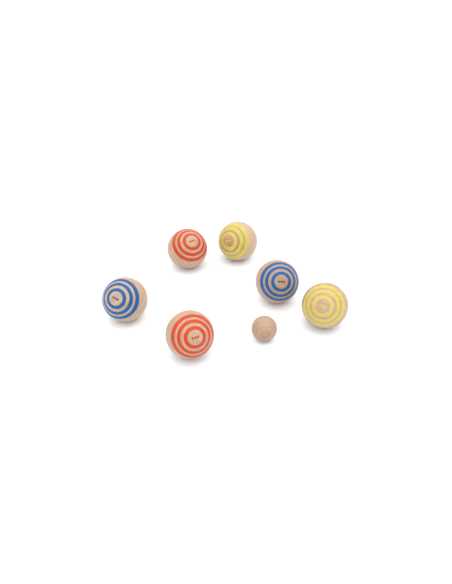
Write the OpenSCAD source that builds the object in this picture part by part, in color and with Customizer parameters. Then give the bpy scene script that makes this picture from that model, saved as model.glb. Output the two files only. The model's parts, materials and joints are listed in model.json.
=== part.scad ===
// Wooden bocce set: six striped playing balls and one plain jack, lying on the ground.
// +Z is up and the ground is z = 0. The origin is below the middle of the set.
// Lengths are in millimetres and angles are in degrees.

/* [Balls] */
// Diameter of each playing ball
ball_d = 73; // [60:1:90]
// Diameter of the jack, the small plain target ball
jack_d = 40; // [25:1:50]

/* [Painted rings, as angles from the ball's pole] */
// Where the inner ring starts
inner_ring_start = 18; // [14:0.5:20]
// Width of the inner ring
inner_ring_width = 9; // [6:0.5:12]
// Where the middle ring starts
middle_ring_start = 34.5; // [33:0.5:36]
// Width of the middle ring
middle_ring_width = 9.5; // [6:0.5:12]
// Where the outer ring starts
outer_ring_start = 50; // [49:0.5:52]
// Width of the outer ring
outer_ring_width = 11.5; // [6:0.5:14]
// Thickness of the paint on the wood
paint_t = 0.25; // [0.1:0.05:0.4]

/* [Centre mark, a row of three dots on the pole] */
// Radius of a dot, as an angle
dot_radius = 2.9; // [1:0.1:3]
// Angle between neighbouring dots
dot_spacing = 6.4; // [6.1:0.1:7]

/* [Layout] */
// How far apart the set lies, as a share of the places in BALLS
spread = 1; // [1:0.1:3]
// Places around each full circle
smoothness = 128; // [48:16:192]

/* [Hidden] */
$fn = smoothness;
ball_r = ball_d / 2;
jack_r = jack_d / 2;

WOOD = "burlywood";
RED = "orangered";
BLUE = "royalblue";
YELLOW = "khaki";

// Name, place on the ground, the pole's azimuth and elevation, the turn of the ball
// about its pole (0 lays the row of dots level), and the paint's colour.
BALLS = [
    ["red_front", [-51.5, -133.5], [-71, 31], 4, RED],
    ["red_back", [-65, 110.5], [-61, 51], 1, RED],
    ["blue_left", [-160, -41.5], [-108, 38], -16, BLUE],
    ["blue_right", [90.5, -1], [-83, 34], -5, BLUE],
    ["yellow_right", [160, -70], [-108, 34], -24, YELLOW],
    ["yellow_back", [28.5, 133.5], [-124, 27], 27, YELLOW]
];
JACK_PLACE = [62, -103.5];

// Name of each ring, and the angles from the pole where it starts and ends.
RINGS = [
    ["inner_ring", inner_ring_start, inner_ring_start + inner_ring_width],
    ["middle_ring", middle_ring_start, middle_ring_start + middle_ring_width],
    ["outer_ring", outer_ring_start, outer_ring_start + outer_ring_width]
];

function part_name(ball, part) = str(ball[0], "_", part);

function ball_parts(ball) = [
    part_name(ball, "ball"),
    for (ring = RINGS) part_name(ball, ring[0]),
    part_name(ball, "centre_mark")
];

// Carries a ball's own frame, with its pole along +Z, to where the ball lies.
module at_ball(ball) {
    azimuth = ball[2][0];
    elevation = ball[2][1];
    translate([ball[1][0] * spread, ball[1][1] * spread, ball_r])
        rotate([0, 90 - elevation, azimuth])
            rotate([0, 0, ball[3]])
                children();
}

// A film of paint on the sphere, between two angles from the pole.
module paint_film(from_angle, to_angle) {
    // The wedge's corners lie outside the ball, so that only its straight sides cut.
    reach = 2 * ball_r;
    middle_angle = (from_angle + to_angle) / 2;
    rotate_extrude()
        intersection() {
            difference() {
                circle(r = ball_r + paint_t);
                circle(r = ball_r);
            }
            polygon([
                [0, 0],
                [reach * sin(from_angle), reach * cos(from_angle)],
                [reach * sin(middle_angle), reach * cos(middle_angle)],
                [reach * sin(to_angle), reach * cos(to_angle)]
            ]);
        }
}

module wood_ball(ball) {
    color(WOOD)
        at_ball(ball)
            sphere(r = ball_r);
}

module paint_ring(ball, ring) {
    color(ball[4])
        at_ball(ball)
            paint_film(ring[1], ring[2]);
}

module centre_mark(ball) {
    color(ball[4])
        at_ball(ball)
            for (step = [-1, 0, 1])
                rotate([step * dot_spacing, 0, 0])
                    paint_film(0, dot_radius);
}

module jack() {
    color(WOOD)
        translate([JACK_PLACE[0] * spread, JACK_PLACE[1] * spread, jack_r])
            sphere(r = jack_r);
}

for (ball = BALLS) {
    wood_ball(ball);
    for (ring = RINGS)
        paint_ring(ball, ring);
    centre_mark(ball);
}
jack();
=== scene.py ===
"""A bocce set lying on a pale floor: turned beech balls with painted rings, and a plain jack.

Lengths are in metres, and grain coordinates are in millimetres.
"""

import json
import math

import bpy
import numpy as np
from mathutils import Matrix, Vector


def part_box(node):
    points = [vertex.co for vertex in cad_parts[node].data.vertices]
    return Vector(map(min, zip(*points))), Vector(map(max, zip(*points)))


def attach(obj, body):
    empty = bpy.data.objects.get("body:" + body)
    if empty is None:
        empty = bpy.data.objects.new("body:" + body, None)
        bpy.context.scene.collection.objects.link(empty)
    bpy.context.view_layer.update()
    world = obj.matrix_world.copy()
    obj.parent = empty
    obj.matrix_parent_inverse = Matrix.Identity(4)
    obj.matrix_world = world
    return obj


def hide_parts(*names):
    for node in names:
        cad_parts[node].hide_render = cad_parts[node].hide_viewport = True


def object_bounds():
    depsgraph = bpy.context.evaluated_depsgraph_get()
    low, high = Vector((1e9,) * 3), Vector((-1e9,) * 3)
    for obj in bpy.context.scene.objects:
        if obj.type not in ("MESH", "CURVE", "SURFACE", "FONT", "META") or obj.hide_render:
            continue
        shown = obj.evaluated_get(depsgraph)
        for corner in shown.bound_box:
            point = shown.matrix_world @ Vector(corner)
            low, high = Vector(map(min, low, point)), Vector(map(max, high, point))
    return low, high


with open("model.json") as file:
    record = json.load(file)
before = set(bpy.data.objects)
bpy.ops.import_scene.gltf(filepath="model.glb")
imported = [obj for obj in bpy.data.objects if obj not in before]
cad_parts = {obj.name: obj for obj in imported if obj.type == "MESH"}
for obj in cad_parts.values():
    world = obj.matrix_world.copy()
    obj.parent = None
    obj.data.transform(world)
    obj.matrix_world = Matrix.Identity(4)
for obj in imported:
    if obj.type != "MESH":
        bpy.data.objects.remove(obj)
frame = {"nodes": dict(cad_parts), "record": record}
cad_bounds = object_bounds()

MM = 0.001
RINGS = ("inner_ring", "middle_ring", "outer_ring")

# ------------------------------------------------------------------ looks of each ball
# fibres are the turn and the tilt of the wood's fibres in the ball's own frame, in degrees:
# the turn is about the pole, and the tilt lifts the fibres out of the equator's plane.
# pith is how far the tree's centre was from the ball's centre, in millimetres, and its
# direction about the fibres, in degrees. depth is how dark the wood is, and face how much
# darker it is round the painted pole, each from 0 to 1.
BALL_LOOKS = {
    "red_front": dict(seed=11, fibres=(80, 8), pith=(95, 20), depth=0.5, face=0.1),
    "red_back": dict(seed=23, fibres=(20, -12), pith=(120, 70), depth=0.5, face=0.0),
    "blue_left": dict(seed=37, fibres=(50, 15), pith=(80, -30), depth=0.35, face=0.0),
    "blue_right": dict(seed=41, fibres=(-35, 5), pith=(70, 45), depth=0.65, face=0.6),
    "yellow_right": dict(seed=53, fibres=(10, -5), pith=(90, -60), depth=0.5, face=0.0),
    "yellow_back": dict(seed=67, fibres=(85, 4), pith=(75, 5), depth=0.0, face=1.0),
    "jack": dict(seed=79, fibres=(4, 7), pith=(60, 78), depth=0.95, face=0.0),
}
# What is added to a ball's seed for the bend of its grain, its first ring and its dots.
BEND_SEED = 1
RING_SEED = 2
DOTS_SEED = 9
# Linear colours of bare beech, at a depth of 0 and at a depth of 1.
PALE_BEECH = np.array([0.61, 0.447, 0.315])
BROWN_BEECH = np.array([0.485, 0.33, 0.23])
# Tints of a ball's own colour in its late wood, its blush, its rays and under oil.
LATE_TINT = [0.62, 0.53, 0.46]
BLUSH_TINT = [1.0, 0.93, 0.95]
RAY_TINT = [0.5, 0.38, 0.32]
OIL_TINT = (0.84, 0.76, 0.60)
# Linear colours: the paint where it is thin, where it is thick, and as the ink of the dots.
PAINT_COLOURS = {
    "red_paint": ((0.59, 0.060, 0.015), (0.51, 0.047, 0.010), (0.48, 0.045, 0.012)),
    "blue_paint": ((0.004, 0.112, 0.33), (0.003, 0.086, 0.27), (0.006, 0.070, 0.19)),
    "yellow_paint": ((0.61, 0.52, 0.092), (0.555, 0.465, 0.072), (0.60, 0.50, 0.09)),
}
# The tint of paint over coarse grain, and the colour of wood that shows through a worn edge.
PAINT_GRAIN_TINT = (0.74, 0.72, 0.72)
WORN_EDGE = (0.42, 0.26, 0.17)


# ------------------------------------------------------------------ what the frame says
def node_points(node):
    """The different vertices of a CAD node, as an array."""
    points = np.array([v.co for v in frame["nodes"][node].data.vertices], float)
    return np.unique(points.round(7), axis=0)


def unit(vector):
    """The vector at a length of 1."""
    return np.asarray(vector, float) / np.linalg.norm(vector)


def slot_of(node):
    """The record's material slot of a CAD node."""
    for row in frame["record"]["subparts"]:
        if row["node"] == node:
            return row["material_slot"]
    raise KeyError(node)


def sphere_of(node):
    """Centre and radius of a ball, from its CAD box."""
    low, high = (np.array(corner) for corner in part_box(node))
    return (low + high) / 2, (high[2] - low[2]) / 2


def ball_axes(name, centre):
    """Rows are the ball's own axes: along the row of dots, across it, and to the pole."""
    pole = unit(node_points(f"{name}_inner_ring").mean(axis=0) - centre)
    dots = node_points(f"{name}_centre_mark")
    spread = np.linalg.svd(dots - dots.mean(axis=0))[2][0]
    along = unit(spread - pole * (spread @ pole))
    if along[0] < 0:
        along = -along
    return np.array([along, np.cross(pole, along), pole])


def polar_span(node, centre, pole):
    """The smallest and largest angle of a CAD node from the pole, and its height, in metres."""
    from_centre = node_points(node) - centre
    distance = np.linalg.norm(from_centre, axis=1)
    angles = np.arccos(np.clip(from_centre @ pole / distance, -1, 1))
    return angles.min(), angles.max(), distance.max()


# ------------------------------------------------------------------ the shape of the wood
def smooth_noise(points, rng, pitch, waves=10):
    """Soft waves that change over about pitch, from about -1 to 1, at points in millimetres."""
    total = np.zeros(len(points))
    for _ in range(waves):
        direction = unit(rng.normal(size=3))
        wavelength = pitch * rng.uniform(0.7, 2.2)
        total += np.sin(points @ direction * 2 * np.pi / wavelength + rng.uniform(0, 2 * np.pi))
    return total / math.sqrt(waves)


class Timber:
    """The piece of beech that one ball was turned from, in the ball's own frame."""

    DENTS = 7
    # The rest are in millimetres: from one growth ring to the next, how far the softer wood is
    # worn down, how far the ball has shrunk across its fibres, and how far its rings bend.
    RING_PITCH = 3.1
    RELIEF = 0.016
    SHRINKAGE = 0.05
    RING_BEND = 1.3
    # How far along one endless log two balls lie apart, for each step between their seeds.
    SEED_STRIDE = 40

    def __init__(self, radius, looks):
        self.radius = radius
        self.seed = looks["seed"]
        self.pith, pith_turn = looks["pith"]
        turn, tilt = (math.radians(angle) for angle in looks["fibres"])
        fibre = np.array([
            math.cos(turn) * math.cos(tilt),
            math.sin(turn) * math.cos(tilt),
            math.sin(tilt),
        ])
        side = unit(np.cross(fibre, [0, 0, 1]))
        lift = np.cross(side, fibre)
        spin = math.radians(pith_turn)
        to_pith = math.cos(spin) * lift + math.sin(spin) * side
        self.axes = np.array([np.cross(fibre, to_pith), to_pith, fibre])
        rng = np.random.default_rng(self.seed)
        # Each dent has a direction from the ball's centre, and a width and a depth in millimetres.
        self.dents = [
            (unit(rng.normal(size=3)), rng.uniform(0.8, 1.9), rng.uniform(0.02, 0.09))
            for _ in range(self.DENTS)
        ]

    def grain(self, directions):
        """Grain coordinates: along the rings, out from the pith, and along the fibres."""
        points = directions * self.radius / MM
        across, towards, along = self.axes @ points.T
        bend = smooth_noise(points, np.random.default_rng(self.seed + BEND_SEED), pitch=60)
        out = np.hypot(across, self.pith - towards) + self.RING_BEND * bend
        around = np.arctan2(across, self.pith - towards) * self.pith
        return np.column_stack([around, out, along + self.SEED_STRIDE * self.seed])

    def growth(self, grain):
        """How many growth rings lie between the pith and each point. Some are wider than others."""
        out = grain[:, 1]
        return out / self.RING_PITCH + 0.7 * np.sin(out / 5.3) + 0.42 * np.sin(out / 2.9 + 1)

    def bruise(self, directions):
        """How far each point is inside a dent, 0 to 1, and the depth there in millimetres."""
        mark, depth = np.zeros(len(directions)), np.zeros(len(directions))
        for middle, width, deep in self.dents:
            away = np.arccos(np.clip(directions @ middle, -1, 1)) * self.radius / MM
            bowl = np.exp(-((away / width) ** 2) * 1.5)
            mark = np.maximum(mark, bowl)
            depth += deep * bowl
        return mark, depth

    def offset(self, directions):
        """How far the surface stands off the true sphere, in metres."""
        phase = self.growth(self.grain(directions)) % 1
        late_wood = np.exp(-(((phase - 0.82) / 0.16) ** 2))
        oval = (directions @ self.axes[0]) ** 2
        depth = self.bruise(directions)[1]
        return (self.RELIEF * (late_wood - 1) - self.SHRINKAGE * oval - depth) * MM


def mesh_object(name, points, faces, attributes):
    """A smooth mesh with one attribute per entry: arrays of numbers or of vectors."""
    mesh = bpy.data.meshes.new(name)
    faces = np.asarray(faces, np.int32)
    mesh.vertices.add(len(points))
    mesh.vertices.foreach_set("co", np.asarray(points, np.float32).ravel())
    mesh.loops.add(faces.size)
    mesh.loops.foreach_set("vertex_index", faces.ravel())
    mesh.polygons.add(len(faces))
    mesh.polygons.foreach_set("loop_start", np.arange(len(faces), dtype=np.int32) * faces.shape[1])
    mesh.polygons.foreach_set("use_smooth", np.ones(len(faces), bool))
    mesh.update(calc_edges=True)
    for key, values in attributes.items():
        values = np.asarray(values, np.float32)
        kind, field = ("FLOAT_VECTOR", "vector") if values.ndim == 2 else ("FLOAT", "value")
        mesh.attributes.new(key, kind, "POINT").data.foreach_set(field, values.ravel())
    mesh.validate()
    made = bpy.data.objects.new(name, mesh)
    bpy.context.scene.collection.objects.link(made)
    return made


def quad_sphere(steps):
    """Unit directions and quads of a cube blown up to a sphere, with even squares."""
    spots = np.tan(np.linspace(-math.pi / 4, math.pi / 4, steps + 1))
    u, v = (grid.ravel() for grid in np.meshgrid(spots, spots, indexing="ij"))
    corner = (np.arange(steps)[:, None] * (steps + 1) + np.arange(steps)).ravel()
    square = np.column_stack([corner, corner + steps + 1, corner + steps + 2, corner + 1])
    points, faces = [], []
    for axis in range(3):
        for side in (1, -1):
            flat = np.empty((len(u), 3))
            flat[:, axis] = side
            flat[:, (axis + 1) % 3] = u
            flat[:, (axis + 2) % 3] = v
            faces.append((square if side > 0 else square[:, ::-1]) + len(points) * len(u))
            points.append(flat)
    points = np.concatenate(points)
    points /= np.linalg.norm(points, axis=1)[:, None]
    kept, where = np.unique(points.round(6), axis=0, return_inverse=True)
    kept /= np.linalg.norm(kept, axis=1)[:, None]
    return kept, where.ravel()[np.concatenate(faces)]


def grain_attributes(timber, directions):
    """What the materials read at each vertex, in millimetres and in rings."""
    grain = timber.grain(directions)
    turning = directions * timber.radius / MM
    return {"grain": grain, "growth": timber.growth(grain), "turning": turning}


def wood_piece(name, timber, centre, axes, steps):
    """The turned ball of wood."""
    directions, faces = quad_sphere(steps)
    points = centre + (directions * (timber.radius + timber.offset(directions))[:, None]) @ axes
    attributes = grain_attributes(timber, directions)
    attributes["bruise"] = timber.bruise(directions)[0]
    return mesh_object(name, points, faces, attributes)


# ------------------------------------------------------------------ the shape of the paint
# Waves round one edge of the paint, and the share of each. The last ones are fine bleeding.
RING_WAVES = ((2, 0.5), (3, 0.4), (5, 0.35), (9, 0.25), (23, 0.2), (47, 0.16), (81, 0.12))
DOT_WAVES = RING_WAVES[:3]
# How far the edges wander: a ring's in metres, and a dot's as a share of its radius.
RING_WANDER = 0.07 * MM
DOT_WANDER = 0.04
# Distance between the vertices of a ring, round it and across it.
RING_COLUMN = 0.5 * MM
RING_ROW = 0.33 * MM
# Height of the film away from its lip, as a share of its full height.
FILM_BODY = 0.72
# How far the film's edge and its underside sink below the surface of the wood.
EDGE_SINK = 0.02 * MM
UNDERSIDE_SINK = 0.04 * MM
# How far in from its edge the paint covers fully, on a ring and on a dot.
RING_COVER = 0.5 * MM
DOT_COVER = 0.4 * MM


def wobble(azimuth, rng, size, waves):
    """How an edge of the paint wanders, in the units of size."""
    total = np.zeros_like(azimuth)
    for count, share in waves:
        total += share * np.sin(count * azimuth + rng.uniform(0, 2 * math.pi))
    return total * size


def film_height(inset, full, lip=0.45 * MM, edge=0.3 * MM):
    """Height of a paint film at a distance in from its edge: a rounded edge with a raised lip."""
    rise = 1 - np.exp(-np.maximum(inset, 0) / edge * 2)
    return full * rise * (FILM_BODY + (1 - FILM_BODY) * np.exp(-(((inset - lip) / lip) ** 2)))


def ring_piece(name, timber, centre, axes, span, seed):
    """A painted ring: a thin closed film that follows the wood under it. span is its polar_span."""
    rng = np.random.default_rng(seed)
    start, end, top_radius = span
    radius = timber.radius
    full = top_radius - radius
    columns = int(2 * math.pi * math.sin(end) * radius / RING_COLUMN // 8 * 8)
    rows = int((end - start) * radius / RING_ROW)
    azimuth = np.linspace(0, 2 * math.pi, columns, endpoint=False)
    wander = RING_WANDER / radius
    low = start + wobble(azimuth, rng, wander, RING_WAVES)
    high = end + wobble(azimuth, rng, wander, RING_WAVES)
    # Rows crowd towards both edges, where the film is rounded.
    share = (1 - np.cos(np.linspace(0, math.pi, rows + 1))) / 2
    outside = low[:, None] + (high - low)[:, None] * share
    inside = outside[:, -2:0:-1]
    polar = np.concatenate([outside, inside], axis=1)
    inset = np.minimum(polar - low[:, None], high[:, None] - polar) * radius
    height = film_height(inset, full)
    height[:, rows + 1:] = -UNDERSIDE_SINK
    height[:, [0, rows]] = -EDGE_SINK
    directions = np.stack([
        np.sin(polar) * np.cos(azimuth)[:, None],
        np.sin(polar) * np.sin(azimuth)[:, None],
        np.cos(polar),
    ], axis=-1).reshape(-1, 3)
    reach = radius + timber.offset(directions) + height.ravel()
    points = centre + (directions * reach[:, None]) @ axes
    loop = polar.shape[1]
    column, row = np.meshgrid(np.arange(columns), np.arange(loop), indexing="ij")
    next_column, next_row = (column + 1) % columns, (row + 1) % loop
    faces = np.stack([
        column * loop + row,
        column * loop + next_row,
        next_column * loop + next_row,
        next_column * loop + row,
    ], axis=-1).reshape(-1, 4)
    attributes = grain_attributes(timber, directions)
    attributes["cover"] = np.clip(inset.ravel() / RING_COVER, 0, 1)
    return mesh_object(name, points, faces, attributes)


def dot_film(timber, middle, dot_radius, full, rng, spokes=48, hoops=9):
    """Directions, heights, cover and triangles of one round dot of paint on the ball."""
    side = unit(np.cross(middle, [0, 1, 0]))
    up = np.cross(middle, side)
    azimuth = np.linspace(0, 2 * math.pi, spokes, endpoint=False)
    edge = dot_radius * (1 + wobble(azimuth, rng, DOT_WANDER, DOT_WAVES))
    # The hoops run out over the top to the edge, and back under it.
    share = np.concatenate([
        np.linspace(1 / hoops, 1, hoops) ** 0.7,
        np.linspace(1, 1 / hoops, hoops)[1:] ** 0.7,
    ])
    away = share[:, None] * edge
    angle = away / timber.radius
    directions = (
        np.cos(angle)[..., None] * middle
        + (np.sin(angle) * np.cos(azimuth))[..., None] * side
        + (np.sin(angle) * np.sin(azimuth))[..., None] * up
    ).reshape(-1, 3)
    inset = (edge - away).ravel()
    height = film_height(inset, full)
    under = np.repeat(np.arange(len(share)) >= hoops, spokes)
    height[under] = -UNDERSIDE_SINK
    height[(hoops - 1) * spokes:hoops * spokes] = -EDGE_SINK
    directions = np.concatenate([directions, [middle, middle]])
    height = np.concatenate([height, [FILM_BODY * full, -UNDERSIDE_SINK]])
    inset = np.concatenate([inset, [dot_radius, dot_radius]])
    top, bottom = len(share) * spokes, len(share) * spokes + 1
    last = (len(share) - 1) * spokes
    faces = []
    for spoke in range(spokes):
        after = (spoke + 1) % spokes
        faces.append((top, spoke, after))
        faces.append((bottom, last + after, last + spoke))
        for hoop in range(len(share) - 1):
            a, b = hoop * spokes + spoke, hoop * spokes + after
            faces += [(a, a + spokes, b + spokes), (a, b + spokes, b)]
    return directions, height, np.clip(inset / DOT_COVER, 0, 1), np.array(faces)


def dots_piece(name, timber, centre, axes, span, width, seed):
    """The row of three dots on the pole. width is a dot's diameter, and span the row's polar_span."""
    rng = np.random.default_rng(seed)
    full = span[2] - timber.radius
    row_end = span[1] * timber.radius
    dot_radius = width / 2
    step = (row_end - dot_radius) / timber.radius
    parts, start = [], 0
    for place in (-1, 0, 1):
        middle = np.array([math.sin(place * step), 0, math.cos(place * step)])
        directions, height, cover, faces = dot_film(timber, middle, dot_radius, full, rng)
        parts.append((directions, height, cover, faces + start))
        start += len(directions)
    directions, height, cover, faces = (np.concatenate(column) for column in zip(*parts))
    reach = timber.radius + timber.offset(directions) + height
    points = centre + (directions * reach[:, None]) @ axes
    attributes = grain_attributes(timber, directions)
    attributes["cover"] = cover
    return mesh_object(name, points, faces, attributes)


# ------------------------------------------------------------------ materials
# Height of the finest relief in wood and paint.
BUMP_HEIGHT = 0.04 * MM


class Nodes:
    """Short calls for the nodes of one material. Each call returns an output socket."""

    def __init__(self, name):
        self.material = bpy.data.materials.new(name)
        self.material.use_nodes = True
        self.tree = self.material.node_tree
        self.shader = self.tree.nodes["Principled BSDF"]

    def join(self, value, socket):
        """Links an output to a socket, or sets the socket to a value."""
        if isinstance(value, bpy.types.NodeSocket):
            self.tree.links.new(value, socket)
        else:
            socket.default_value = value

    def attribute(self, name, output="Fac"):
        node = self.tree.nodes.new("ShaderNodeAttribute")
        node.attribute_name = name
        return node.outputs[output]

    def math(self, operation, *values, clamp=False):
        node = self.tree.nodes.new("ShaderNodeMath")
        node.operation = operation
        node.use_clamp = clamp
        for value, socket in zip(values, node.inputs):
            self.join(value, socket)
        return node.outputs[0]

    def scaled(self, vector, pitches):
        """The vector divided by a pitch on each axis, in millimetres."""
        node = self.tree.nodes.new("ShaderNodeVectorMath")
        node.operation = "DIVIDE"
        self.join(vector, node.inputs[0])
        node.inputs[1].default_value = pitches
        return node.outputs[0]

    def noise(self, vector, pitches, detail=2.0, roughness=0.5):
        """Noise from 0 to 1 whose features are about as large as the pitches."""
        node = self.tree.nodes.new("ShaderNodeTexNoise")
        self.join(self.scaled(vector, pitches), node.inputs["Vector"])
        node.inputs["Scale"].default_value = 1.0
        node.inputs["Detail"].default_value = detail
        node.inputs["Roughness"].default_value = roughness
        return node.outputs["Fac"]

    def ramp(self, value, low, high, to_low=0.0, to_high=1.0):
        """Maps low..high smoothly to to_low..to_high, and holds outside."""
        node = self.tree.nodes.new("ShaderNodeMapRange")
        node.interpolation_type = "SMOOTHSTEP"
        self.join(value, node.inputs["Value"])
        ends = {"From Min": low, "From Max": high, "To Min": to_low, "To Max": to_high}
        for socket, number in ends.items():
            self.join(number, node.inputs[socket])
        return node.outputs["Result"]

    def mix(self, share, first, second):
        """first where share is 0 and second where it is 1, as colours."""
        node = self.tree.nodes.new("ShaderNodeMix")
        node.data_type = "RGBA"
        self.join(share, node.inputs["Factor"])
        for value, socket in ((first, node.inputs[6]), (second, node.inputs[7])):
            self.join(value if isinstance(value, bpy.types.NodeSocket) else (*value, 1.0), socket)
        return node.outputs[2]

    def tinted(self, colour, tint):
        """The colour multiplied by a fixed tint."""
        node = self.tree.nodes.new("ShaderNodeVectorMath")
        node.operation = "MULTIPLY"
        self.join(colour, node.inputs[0])
        node.inputs[1].default_value = tint
        return node.outputs[0]

    def bump(self, height, distance):
        """A normal for a height from 0 to 1, where 1 is the distance, in metres."""
        node = self.tree.nodes.new("ShaderNodeBump")
        node.inputs["Distance"].default_value = distance
        self.join(height, node.inputs["Height"])
        return node.outputs["Normal"]

    def height_along(self, vector):
        """The Z part of a vector."""
        node = self.tree.nodes.new("ShaderNodeSeparateXYZ")
        self.join(vector, node.inputs[0])
        return node.outputs["Z"]


def beech_pattern(nodes):
    """The parts of beech's figure, each from 0 to 1.

    The pitches of each noise are along the rings, out from the pith and along the fibres.
    """
    grain = nodes.attribute("grain", "Vector")
    phase = nodes.math("FRACT", nodes.attribute("growth"))
    rising = nodes.ramp(phase, 0.25, 0.93)
    falling = nodes.ramp(phase, 0.93, 1.0, 1.0, 0.0)
    return {
        "late_wood": nodes.math("MULTIPLY", rising, falling),
        "cloud": nodes.noise(grain, (26, 14, 60), detail=3),
        "band": nodes.noise(grain, (30, 2.3, 70), detail=2),
        "blush": nodes.noise(grain, (34, 5.5, 48), detail=2),
        "streak": nodes.noise(grain, (0.9, 1.1, 22), detail=3, roughness=0.6),
        "fibre": nodes.noise(grain, (0.16, 0.16, 3.5), detail=2),
        "ray": nodes.ramp(nodes.noise(grain, (0.36, 7.0, 1.5), detail=1), 0.615, 0.68),
        "pore": nodes.ramp(nodes.noise(grain, (0.17, 0.17, 1.6), detail=1), 0.66, 0.74),
    }


def wood_colour(nodes, figure, light):
    """Beech: rings, bands and streaks between light and dark, with darker rays and pores."""
    dark, pink, ray = light * LATE_TINT, light * BLUSH_TINT, light * RAY_TINT
    tone = nodes.math("MULTIPLY", figure["late_wood"], 0.20)
    tone = nodes.math("MULTIPLY_ADD", nodes.ramp(figure["cloud"], 0.25, 0.75), 0.22, tone)
    tone = nodes.math("MULTIPLY_ADD", nodes.ramp(figure["band"], 0.3, 0.7), 0.38, tone)
    tone = nodes.math("MULTIPLY_ADD", nodes.ramp(figure["streak"], 0.3, 0.75), 0.20, tone)
    colour = nodes.mix(nodes.ramp(figure["blush"], 0.35, 0.65), light, pink)
    colour = nodes.mix(tone, colour, dark)
    colour = nodes.mix(nodes.math("MULTIPLY", figure["ray"], 0.5), colour, ray)
    return nodes.mix(nodes.math("MULTIPLY", figure["pore"], 0.4), colour, ray)


def lathe_marks(nodes):
    """Fine hoops round the pole, left by turning and sanding."""
    turning = nodes.attribute("turning", "Vector")
    return nodes.noise(turning, (30, 30, 0.35), detail=2, roughness=0.6)


def beech(name, radius, depth, face):
    """Bare wood with a thin satin coat. radius is the ball's, in millimetres."""
    nodes = Nodes(name)
    figure = beech_pattern(nodes)
    light = PALE_BEECH + (BROWN_BEECH - PALE_BEECH) * depth
    colour = wood_colour(nodes, figure, light)
    bruise = nodes.math("MULTIPLY", nodes.ramp(nodes.attribute("bruise"), 0.35, 1.0), 0.35)
    colour = nodes.mix(bruise, colour, light * LATE_TINT * 0.8)
    towards_pole = nodes.height_along(nodes.attribute("turning", "Vector"))
    oiled = nodes.math("MULTIPLY", nodes.ramp(towards_pole, radius * 0.3, radius * 0.8), face)
    colour = nodes.mix(oiled, colour, nodes.tinted(colour, OIL_TINT))
    nodes.join(colour, nodes.shader.inputs["Base Color"])
    dull = nodes.math("MULTIPLY_ADD", figure["fibre"], 0.14, 0.40)
    nodes.join(dull, nodes.shader.inputs["Roughness"])
    height = nodes.math("MULTIPLY", figure["fibre"], 0.35)
    height = nodes.math("MULTIPLY_ADD", figure["pore"], -1.0, height)
    height = nodes.math("MULTIPLY_ADD", lathe_marks(nodes), 0.5, height)
    nodes.join(nodes.bump(height, BUMP_HEIGHT), nodes.shader.inputs["Normal"])
    nodes.shader.inputs["Specular IOR Level"].default_value = 0.35
    nodes.shader.inputs["Coat Weight"].default_value = 0.1
    nodes.shader.inputs["Coat Roughness"].default_value = 0.3
    return nodes.material


def paint(name, thin, thick):
    """Satin paint laid on with the ball turning.

    The grain shows in it faintly, and a little wood shows at its edges.
    """
    nodes = Nodes(name)
    figure = beech_pattern(nodes)
    turning = nodes.attribute("turning", "Vector")
    brushed = nodes.noise(turning, (18, 18, 0.5), detail=3, roughness=0.6)
    uneven = nodes.noise(turning, (6, 6, 6), detail=2)
    tone = nodes.math("MULTIPLY", brushed, 0.5)
    tone = nodes.math("MULTIPLY_ADD", nodes.ramp(uneven, 0.3, 0.7), 0.5, tone)
    colour = nodes.mix(tone, thin, thick)
    grain = nodes.math("MULTIPLY", figure["streak"], 0.4)
    grain = nodes.math("MULTIPLY_ADD", figure["late_wood"], 0.3, grain)
    grain = nodes.math("MULTIPLY_ADD", figure["pore"], 0.5, grain, clamp=True)
    colour = nodes.mix(grain, colour, nodes.tinted(colour, PAINT_GRAIN_TINT))
    worn = nodes.ramp(nodes.attribute("cover"), 0.0, 0.8, 0.5, 0.0)
    colour = nodes.mix(worn, colour, WORN_EDGE)
    nodes.join(colour, nodes.shader.inputs["Base Color"])
    dull = nodes.math("MULTIPLY_ADD", uneven, 0.16, 0.32)
    nodes.join(dull, nodes.shader.inputs["Roughness"])
    height = nodes.math("MULTIPLY", figure["fibre"], 0.3)
    height = nodes.math("MULTIPLY_ADD", figure["pore"], -0.8, height)
    height = nodes.math("MULTIPLY_ADD", brushed, 0.7, height)
    nodes.join(nodes.bump(height, BUMP_HEIGHT), nodes.shader.inputs["Normal"])
    nodes.shader.inputs["Specular IOR Level"].default_value = 0.28
    return nodes.material


def floor_material():
    """A pale matt studio floor."""
    nodes = Nodes("pale_floor")
    place = nodes.tree.nodes.new("ShaderNodeTexCoord").outputs["Object"]
    mottle = nodes.noise(place, (0.4, 0.4, 0.4))
    colour = nodes.mix(mottle, (0.87, 0.92, 0.95), (0.89, 0.94, 0.97))
    nodes.join(colour, nodes.shader.inputs["Base Color"])
    nodes.shader.inputs["Roughness"].default_value = 0.9
    nodes.shader.inputs["Specular IOR Level"].default_value = 0.1
    return nodes.material


# ------------------------------------------------------------------ the stage
# Places and sizes are in metres, angles in degrees, and the lens and its sensor in millimetres.
CAMERA_HEIGHT = 0.594
CAMERA_BACK = 0.795
CAMERA_RIGHT = 0.004
CAMERA_PITCH = 36
CAMERA_ROLL = -1.36
CAMERA_LENS = 35.6
CAMERA_SENSOR = 36
FLOOR_SIZE = 16
# Strength of the room's light from the horizon and from straight above.
HORIZON_STRENGTH = 0.9
ZENITH_STRENGTH = 1.75
SOFTBOX_SIZE = 2.0
SOFTBOX_POWER = 10
SOFTBOX_PLACE = (0.25, 0.1, 1.6)


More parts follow.
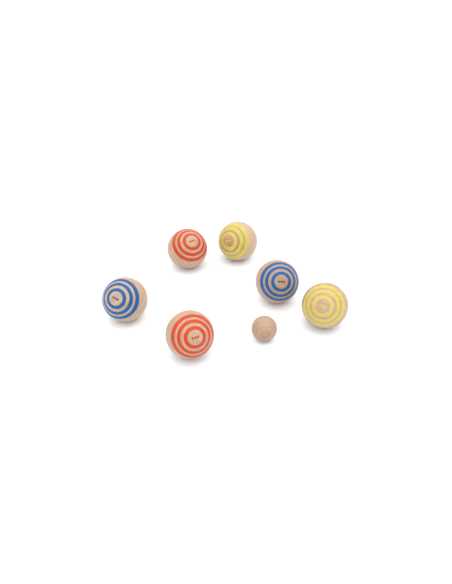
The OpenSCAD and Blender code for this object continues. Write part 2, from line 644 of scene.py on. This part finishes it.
def add_camera():
    """Looks along +Y and down, from in front of the set."""
    camera = bpy.data.objects.new("camera", bpy.data.cameras.new("camera"))
    camera.data.lens = CAMERA_LENS
    camera.data.sensor_width = CAMERA_SENSOR
    pitch = Matrix.Rotation(math.radians(90 - CAMERA_PITCH), 4, "X")
    roll = Matrix.Rotation(math.radians(CAMERA_ROLL), 4, "Z")
    place = Matrix.Translation((CAMERA_RIGHT, -CAMERA_BACK, CAMERA_HEIGHT))
    camera.matrix_world = place @ pitch @ roll
    bpy.context.scene.collection.objects.link(camera)
    bpy.context.scene.camera = camera


def add_floor():
    """A plain floor that the set stands on."""
    low = cad_bounds[0]
    bpy.ops.mesh.primitive_plane_add(size=FLOOR_SIZE, location=(0, 0, low[2]))
    floor = bpy.context.object
    floor.name = "floor"
    floor.data.materials.append(floor_material())


def white_room():
    """A world that lights more from above than from the horizon, and shows plain white."""
    world = bpy.data.worlds.new("white_room")
    world.use_nodes = True
    tree = world.node_tree
    split = tree.nodes.new("ShaderNodeSeparateXYZ")
    tree.links.new(tree.nodes.new("ShaderNodeTexCoord").outputs["Generated"], split.inputs[0])
    rise = tree.nodes.new("ShaderNodeMapRange")
    rise.interpolation_type = "SMOOTHSTEP"
    rise.inputs["To Min"].default_value = HORIZON_STRENGTH
    rise.inputs["To Max"].default_value = ZENITH_STRENGTH
    tree.links.new(split.outputs["Z"], rise.inputs["Value"])
    lighting = tree.nodes["Background"]
    lighting.inputs["Color"].default_value = (1, 1, 1, 1)
    tree.links.new(rise.outputs["Result"], lighting.inputs["Strength"])
    backdrop = tree.nodes.new("ShaderNodeBackground")
    backdrop.inputs["Color"].default_value = (1, 1, 1, 1)
    seen = tree.nodes.new("ShaderNodeMixShader")
    tree.links.new(tree.nodes.new("ShaderNodeLightPath").outputs["Is Camera Ray"], seen.inputs[0])
    tree.links.new(lighting.outputs[0], seen.inputs[1])
    tree.links.new(backdrop.outputs[0], seen.inputs[2])
    tree.links.new(seen.outputs[0], tree.nodes["World Output"].inputs["Surface"])
    return world


def add_light():
    """A white room all round, and a large soft box above."""
    bpy.context.scene.world = white_room()
    lamp = bpy.data.lights.new("softbox", "AREA")
    lamp.size = SOFTBOX_SIZE
    lamp.energy = SOFTBOX_POWER
    softbox = bpy.data.objects.new("softbox", lamp)
    softbox.location = SOFTBOX_PLACE
    softbox.rotation_euler = (-softbox.location).to_track_quat("-Z", "Y").to_euler()
    bpy.context.scene.collection.objects.link(softbox)


# ------------------------------------------------------------------ the set
# Squares along each side of the cube that a ball is blown up from.
BALL_STEPS = 104
JACK_STEPS = 72


def finish_piece(piece, material, node, body):
    """Gives a piece its finish, and lets it stand for a CAD node on that node's body."""
    piece.data.materials.append(material)
    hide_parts(node)
    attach(piece, body)


def add_playing_ball(name, paints, inks):
    """A ball of wood, its three rings and its row of dots."""
    looks = BALL_LOOKS[name]
    centre, radius = sphere_of(f"{name}_ball")
    axes = ball_axes(name, centre)
    timber = Timber(radius, looks)
    wood = wood_piece(f"{name}_wood", timber, centre, axes, BALL_STEPS)
    bare = beech(f"{name}_beech", radius / MM, looks["depth"], looks["face"])
    finish_piece(wood, bare, f"{name}_ball", name)
    for place, ring in enumerate(RINGS):
        node = f"{name}_{ring}"
        span = polar_span(node, centre, axes[2])
        seed = looks["seed"] + RING_SEED + place
        piece = ring_piece(f"{name}_{ring}_paint", timber, centre, axes, span, seed)
        finish_piece(piece, paints[slot_of(node)], node, name)
    node = f"{name}_centre_mark"
    across = (node_points(node) - centre) @ axes[1]
    width = across.max() - across.min()
    span = polar_span(node, centre, axes[2])
    seed = looks["seed"] + DOTS_SEED
    dots = dots_piece(f"{name}_dots", timber, centre, axes, span, width, seed)
    finish_piece(dots, inks[slot_of(node)], node, name)


def add_jack():
    """The jack is bare. Its own axes are the frame's."""
    looks = BALL_LOOKS["jack"]
    centre, radius = sphere_of("jack")
    timber = Timber(radius, looks)
    wood = wood_piece("jack_wood", timber, centre, np.eye(3), JACK_STEPS)
    bare = beech("jack_beech", radius / MM, looks["depth"], looks["face"])
    finish_piece(wood, bare, "jack", "jack")


bpy.context.scene.view_settings.view_transform = "Standard"
add_camera()
add_floor()
add_light()
paints, inks = {}, {}
for slot, (thin, thick, ink) in PAINT_COLOURS.items():
    paints[slot] = paint(slot, thin, thick)
    inks[slot] = paint(slot.replace("paint", "ink"), ink, ink)
for ball in BALL_LOOKS:
    if ball != "jack":
        add_playing_ball(ball, paints, inks)
add_jack()
